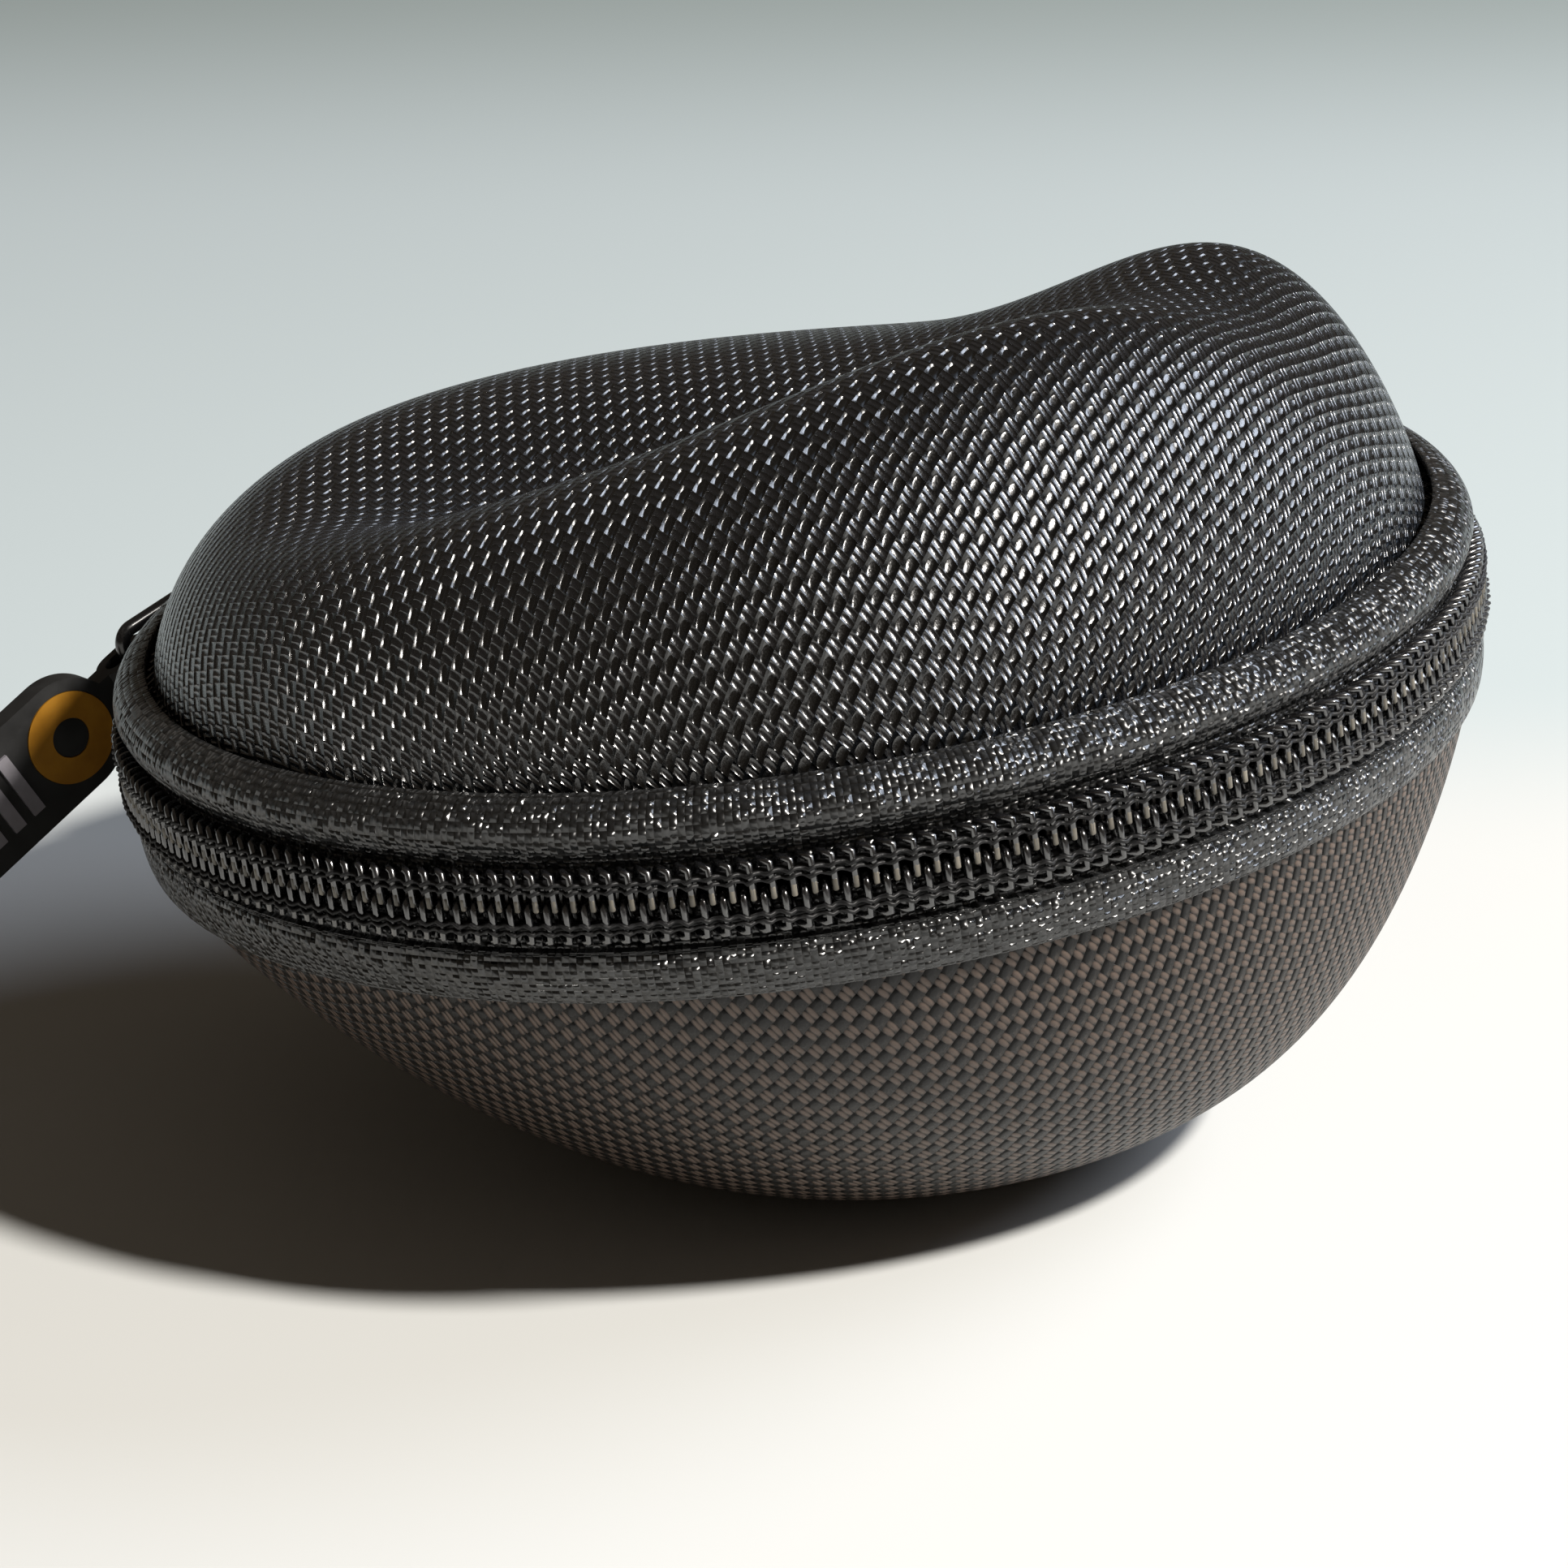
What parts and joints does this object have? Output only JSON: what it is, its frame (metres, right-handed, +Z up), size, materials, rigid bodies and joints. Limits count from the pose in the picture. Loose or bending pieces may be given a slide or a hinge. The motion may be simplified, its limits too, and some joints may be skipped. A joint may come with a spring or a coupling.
{
  "type": "headphone carrying case",
  "caption": "Round zipped hard case for headphones: saddle-shaped lid and deep bowl base in woven nylon, coil zip round the rim, fabric hinge, ring pull with rubber tab.",
  "frame": {"origin": "on the resting flat of the bowl, straight below the centre of the rim circle", "axes": "+Z up from the resting flat, -Y towards the front of the closed case, hinge at +Y; the rim plane is leant 8.15 degrees about Y, right side (+X) up"},
  "size_m": [0.1426, 0.1197, 0.0785],
  "materials": {
    "nylon": "thermoformed woven polyamide, charcoal black",
    "lining": "brushed knit lining, dark grey",
    "binding": "woven binding tape, black",
    "tape": "finely woven zip tape, dark grey",
    "coil": "polyamide monofilament coil, glossy black",
    "metal": "zinc, black enamel",
    "net": "open knit net, black",
    "rubber": "matt black rubber",
    "ochre": "ochre inlay",
    "grey": "grey raised bars"
  },
  "bodies": {
    "base": {"lower_shell": "nylon", "lower_lining": "lining", "lower_binding": "binding", "lower_zip_tape": "tape", "lower_zip_coil": "coil", "lower_coil_cord": "tape", "lower_end_stops": "metal", "lower_hinge_panel": "nylon", "lower_hinge_lining": "lining"},
    "lid": {"upper_shell": "nylon", "upper_lining": "lining", "upper_binding": "binding", "upper_zip_tape": "tape", "upper_zip_coil": "coil", "upper_coil_cord": "tape", "upper_end_stops": "metal", "upper_hinge_panel": "nylon", "upper_hinge_lining": "lining", "pocket_mesh": "net", "pocket_elastic": "binding"},
    "slider": {"slider_body": "metal", "slider_bridge": "metal"},
    "ring": {"pull_ring": "metal"},
    "tab": {"pull_tab": "rubber", "tab_inlay_ring": "ochre", "tab_grip_bars": "grey"}
  },
  "joints": [
    {"name": "lid_hinge", "type": "hinge", "parent": "base", "child": "lid", "pos_m": [0, 0.0588, 0.04368], "axis": [-0.9899, 0, -0.1418], "range_deg": [0, 115]},
    {"name": "slider_travel", "type": "hinge", "parent": "base", "child": "slider", "pos_m": [0, 0, 0.04368], "axis": [-0.1418, 0, 0.9899], "range_deg": [0, 240], "deforming": ["lower_zip_coil", "upper_zip_coil"]},
    {"name": "ring_swing", "type": "hinge", "parent": "slider", "child": "ring", "pos_m": [-0.05362, 0.03127, 0.036], "axis": [-0.1418, 0, 0.9899], "range_deg": [-155, 25]},
    {"name": "tab_wag", "type": "hinge", "parent": "ring", "child": "tab", "pos_m": [-0.06077, 0.02599, 0.03266], "axis": [0.5678, -0.8192, 0.0813], "range_deg": [-28, 8]}
  ]
}
